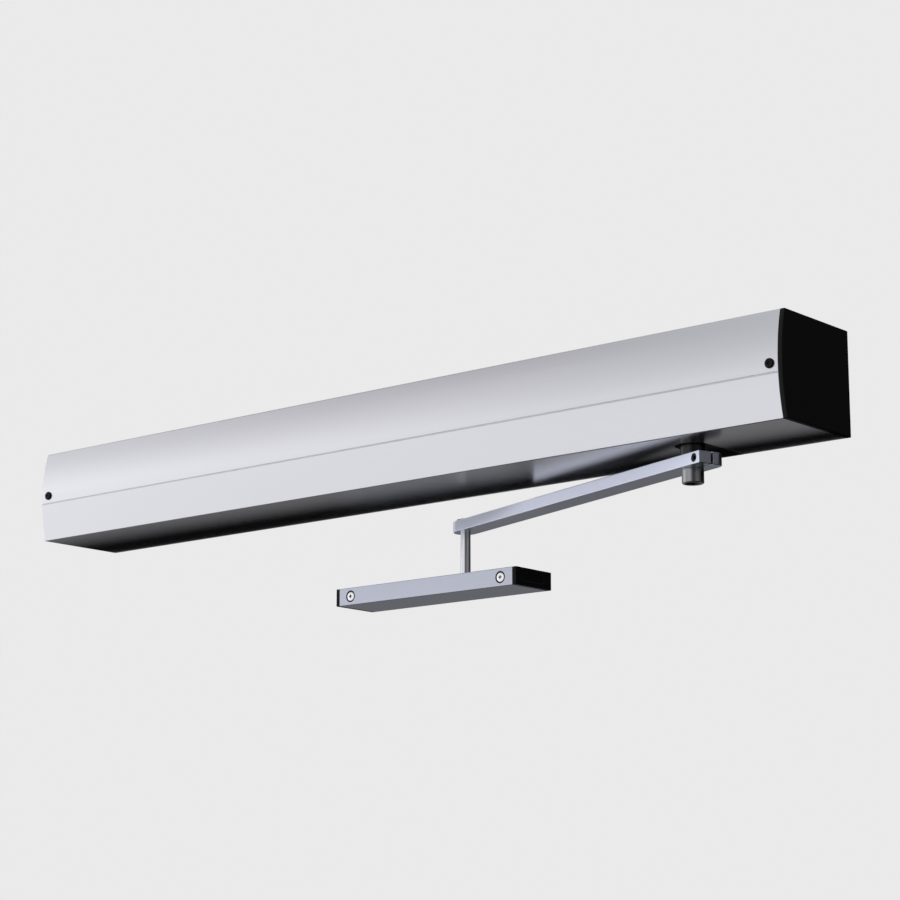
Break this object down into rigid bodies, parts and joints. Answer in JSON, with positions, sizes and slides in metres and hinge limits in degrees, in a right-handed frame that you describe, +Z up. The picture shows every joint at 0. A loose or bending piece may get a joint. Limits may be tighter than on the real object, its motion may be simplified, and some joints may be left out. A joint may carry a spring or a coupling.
{
  "type": "automatic door operator",
  "caption": "Wall-mounted automatic door operator: long housing with gear drive and closing spring, swing arm, slide rod and guide rail.",
  "frame": {"origin": "centre of the housing's wall face, midway along its length and height", "axes": "+X along the housing towards the spindle end, +Y into the wall (the room is at -Y), +Z up"},
  "size_m": [0.84, 0.1772, 0.1608],
  "materials": {
    "cover_paint": "satin silver paint",
    "cap_black": "fine texture",
    "chassis_aluminium": "mill finish",
    "cast_aluminium": "die cast",
    "arm_aluminium": "fine brushed anodised",
    "rail_aluminium": "fine brushed anodised",
    "dark_steel": "blackened, turned",
    "black_screw": "black zinc",
    "bright_screw": "bright zinc",
    "shaft_steel": "ground",
    "gear_steel": "hobbed",
    "bearing_steel": "polished",
    "rod_chrome": "ground and polished",
    "spring_steel": "oil tempered",
    "bronze": "sintered",
    "copper": "enamelled",
    "lamination": "stacked sheet",
    "motor_black": "satin",
    "circuit_green": "solder resist",
    "part_black": "moulded",
    "terminal_green": "moulded",
    "terminal_cream": "moulded",
    "capacitor_sleeve": "shrink sleeve",
    "heatsink_black": "black anodised",
    "zinc_sheet": "zinc plated",
    "grommet_rubber": "soft",
    "lead_insulation": "extruded",
    "slider_plastic": "acetal",
    "switch_black": "moulded"
  },
  "bodies": {
    "housing": {"base_plate": "chassis_aluminium", "front_cover": "cover_paint", "left_end_cap": "cap_black", "right_end_cap": "cap_black", "cover_screws": "black_screw", "cap_screws": "zinc_sheet", "chassis_screws": "zinc_sheet", "slot_cover": "cap_black", "gearbox_case": "cast_aluminium", "gearbox_lid": "cast_aluminium", "shaft_bushes": "bronze", "spindle_top_bearing": "bearing_steel", "spindle_bottom_bearing": "bearing_steel", "bearing_bracket": "cast_aluminium", "motor_case": "motor_black", "motor_flange": "cast_aluminium", "motor_stator": "lamination", "motor_windings": "copper", "spring_frame": "cast_aluminium", "spring_guide_rod": "shaft_steel", "closing_spring": "spring_steel", "position_sensor": "part_black", "control_board": "circuit_green", "board_standoffs": "bronze", "small_screws": "zinc_sheet", "board_terminals": "terminal_green", "board_capacitors": "capacitor_sleeve", "board_relays": "part_black", "board_heatsink": "heatsink_black", "supply_tray": "zinc_sheet", "supply_cover": "zinc_sheet", "supply_board": "circuit_green", "supply_transformer": "lamination", "mains_terminal": "terminal_cream", "cable_grommet": "grommet_rubber", "wiring": "lead_insulation", "switch_body": "switch_black"},
    "swing_arm": {"spindle": "shaft_steel", "output_wheel": "gear_steel", "spring_pinion": "gear_steel", "spindle_collar": "dark_steel", "arm": "arm_aluminium", "arm_clamp_screw": "black_screw", "spindle_sleeve": "dark_steel", "slide_rod": "rod_chrome", "rod_clip": "dark_steel"},
    "low_idler": {"low_idler_shaft": "gear_steel", "low_idler_wheel": "gear_steel"},
    "high_idler": {"high_idler_shaft": "gear_steel", "high_idler_wheel": "gear_steel"},
    "rotor": {"motor_rotor": "shaft_steel", "motor_pinion": "gear_steel"},
    "rack": {"spring_rack": "gear_steel"},
    "slider": {"slide_block": "slider_plastic"},
    "rail_body": {"rail": "rail_aluminium", "rail_left_cap": "cap_black", "rail_right_cap": "cap_black", "rail_blocks": "part_black", "rail_screws": "bright_screw"},
    "rocker": {"switch_rocker": "switch_black"}
  },
  "joints": [
    {"name": "spindle_swing", "type": "hinge", "parent": "housing", "child": "swing_arm", "pos_m": [0.308, -0.053, -0.0612], "axis": [0, 0, 1], "range_deg": [0, 110], "stiffness_Nm_per_rad": 8, "springref_deg": -57.3},
    {"name": "low_idler_spin", "type": "hinge", "parent": "housing", "child": "low_idler", "pos_m": [0.269, -0.053, 0.01], "axis": [0, 0, 1], "range_deg": [-298.58, 0.01]},
    {"name": "high_idler_spin", "type": "hinge", "parent": "housing", "child": "high_idler", "pos_m": [0.2365, -0.053, 0.02], "axis": [0, 0, 1], "range_deg": [-0.01, 995.25]},
    {"name": "motor_spin", "type": "hinge", "parent": "housing", "child": "rotor", "pos_m": [0.2065, -0.053, 0], "axis": [0, 0, 1], "range_deg": [-3980.96, 0.01]},
    {"name": "rack_slide", "type": "slide", "parent": "housing", "child": "rack", "axis": [1, 0, 0], "range_m": [-0.03457, 0.00001], "deforming": ["closing_spring"]},
    {"name": "slider_swivel", "type": "hinge", "parent": "swing_arm", "child": "slider", "pos_m": [-0.01264, 0.05395, -0.1103], "axis": [0, 0, 1], "range_deg": [-90, 90]},
    {"name": "rail_slide", "type": "slide", "parent": "slider", "child": "rail_body", "axis": [1, 0, 0], "range_m": [-0.033, 0.09]},
    {"name": "switch_rock", "type": "hinge", "parent": "housing", "child": "rocker", "pos_m": [-0.4135, -0.046, 0], "axis": [0, 0, 1], "range_deg": [-10, 10]}
  ],
  "couplings": [
    {"joint": "low_idler_spin", "follows": "spindle_swing", "ratio": -2.7143},
    {"joint": "high_idler_spin", "follows": "spindle_swing", "ratio": 9.0476},
    {"joint": "motor_spin", "follows": "spindle_swing", "ratio": -36.19},
    {"joint": "rack_slide", "follows": "spindle_swing", "m_per_rad": -0.018}
  ]
}
